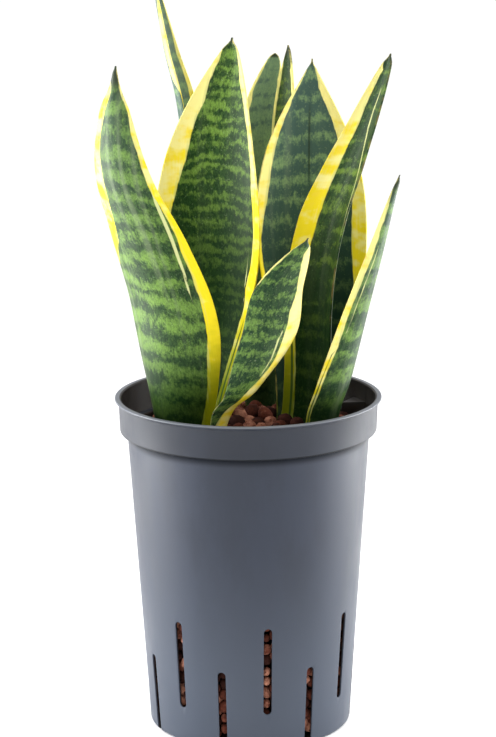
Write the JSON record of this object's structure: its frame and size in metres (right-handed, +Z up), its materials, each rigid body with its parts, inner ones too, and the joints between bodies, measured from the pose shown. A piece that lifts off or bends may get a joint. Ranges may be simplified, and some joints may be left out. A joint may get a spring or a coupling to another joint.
{
  "type": "potted snake plant",
  "caption": "Potted snake plant: broad, upright, yellow-edged leaves growing out of clay pebbles in a tapered grey plastic hydroculture pot with water slots near its foot.",
  "frame": {"origin": "centre of the pot's flat underside", "axes": "+Z up along the pot's axis; -Y is the side that the picture was taken from, +X is to its right"},
  "size_m": [0.1648, 0.15, 0.421],
  "materials": {
    "pot_plastic": "satin",
    "expanded_clay": "matte",
    "rhizome": "matte",
    "leaf": "satin"
  },
  "bodies": {
    "root": {"pot": "pot_plastic", "clay_pebbles": "expanded_clay", "rhizome": "rhizome", "leaf_front_left": "leaf", "leaf_centre_left": "leaf", "leaf_tall_back": "leaf", "leaf_back_centre": "leaf", "leaf_back_slender": "leaf", "leaf_centre_right": "leaf", "leaf_right_leaning": "leaf", "leaf_right_small": "leaf", "leaf_front_small": "leaf"}
  },
  "joints": []
}
